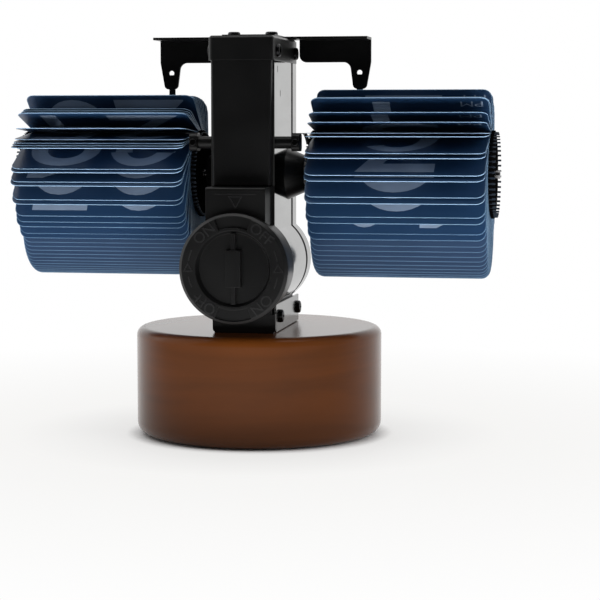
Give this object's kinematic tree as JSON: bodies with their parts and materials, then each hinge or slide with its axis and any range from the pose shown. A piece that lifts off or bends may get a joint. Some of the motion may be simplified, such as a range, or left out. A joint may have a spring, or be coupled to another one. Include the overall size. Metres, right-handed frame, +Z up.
{
  "type": "desk flip clock",
  "caption": "Desk flip clock: a keyhole-shaped column on a round wooden base, with a drum of hanging number cards on each side and a battery door at the back.",
  "frame": {"origin": "centre of the wooden base on the surface that it stands on", "axes": "+Z up; +X along the card drums, from the hours to the minutes; -Y out of the face that shows the time, +Y out of the battery door"},
  "size_m": [0.196, 0.1015, 0.1625],
  "materials": {
    "lacquered_wood": "satin lacquer",
    "foam_pad": "matte",
    "polished_sheet": "polished",
    "black_plastic": "satin",
    "black_metal": "satin",
    "dark_screws": "satin",
    "card_blue": "satin",
    "drum_plastic": "satin",
    "brass": "satin",
    "cell": "satin",
    "bright_steel": "polished"
  },
  "bodies": {
    "stand": {"bar_clamps": "black_plastic", "base_pad": "foam_pad", "base_screws": "dark_screws", "battery_cell": "cell", "battery_collar": "black_plastic", "bearing_plate": "black_plastic", "bridge_screws": "dark_screws", "cap_screws": "dark_screws", "chassis": "black_plastic", "clamp_screws": "dark_screws", "column_foot": "black_plastic", "cross_bar": "bright_steel", "finger_rivets": "dark_screws", "foot_screws": "dark_screws", "foot_straps": "polished_sheet", "front_contact": "brass", "front_shell": "polished_sheet", "hour_bearing_boss": "black_plastic", "hour_bush": "brass", "hour_click_spring": "bright_steel", "hour_side_sheet": "polished_sheet", "hour_stop_finger": "bright_steel", "minute_bearing_boss": "black_plastic", "minute_bush": "brass", "minute_click_spring": "bright_steel", "minute_side_sheet": "polished_sheet", "minute_stop_finger": "bright_steel", "motor_can": "bright_steel", "rear_cover": "black_plastic", "stop_bridge": "black_metal", "top_cap": "black_plastic", "wood_base": "lacquered_wood"},
    "minute_drum": {"minute_spindle": "bright_steel", "minute_inner_wheel": "drum_plastic", "minute_outer_wheel": "drum_plastic", "minute_spacer_tube": "drum_plastic", "minute_cards": "card_blue", "drive_gear": "drum_plastic"},
    "hour_drum": {"hour_spindle": "bright_steel", "hour_inner_wheel": "drum_plastic", "hour_outer_wheel": "drum_plastic", "hour_spacer_tube": "drum_plastic", "hour_cards": "card_blue"},
    "minute_card": {"minute_falling_card": "card_blue"},
    "hour_card": {"hour_falling_card": "card_blue"},
    "door": {"battery_door": "black_plastic", "door_contact": "brass"},
    "pinion": {"motor_pinion": "drum_plastic"}
  },
  "joints": [
    {"name": "minute_drum_step", "type": "hinge", "parent": "stand", "child": "minute_drum", "pos_m": [0, 0.002, 0.106], "axis": [1, 0, 0], "range_deg": [-6, 0]},
    {"name": "hour_drum_step", "type": "hinge", "parent": "stand", "child": "hour_drum", "pos_m": [0, 0.002, 0.106], "axis": [1, 0, 0], "range_deg": [-7.5, 0]},
    {"name": "minute_card_fall", "type": "hinge", "parent": "minute_drum", "child": "minute_card", "pos_m": [0, -0.01439, 0.10919], "axis": [1, 0, 0], "range_deg": [0, 161]},
    {"name": "hour_card_fall", "type": "hinge", "parent": "hour_drum", "child": "hour_card", "pos_m": [0, -0.01439, 0.10919], "axis": [1, 0, 0], "range_deg": [0, 164]},
    {"name": "battery_door_turn", "type": "hinge", "parent": "stand", "child": "door", "pos_m": [0, 0.0466, 0.0708], "axis": [0, 1, 0], "range_deg": [-38, 38]},
    {"name": "motor_pinion_turn", "type": "hinge", "parent": "stand", "child": "pinion", "pos_m": [0, 0.0115, 0.106], "axis": [1, 0, 0], "range_deg": [0, 16.8]}
  ],
  "couplings": [
    {"joint": "motor_pinion_turn", "follows": "minute_drum_step", "ratio": -2.8}
  ]
}
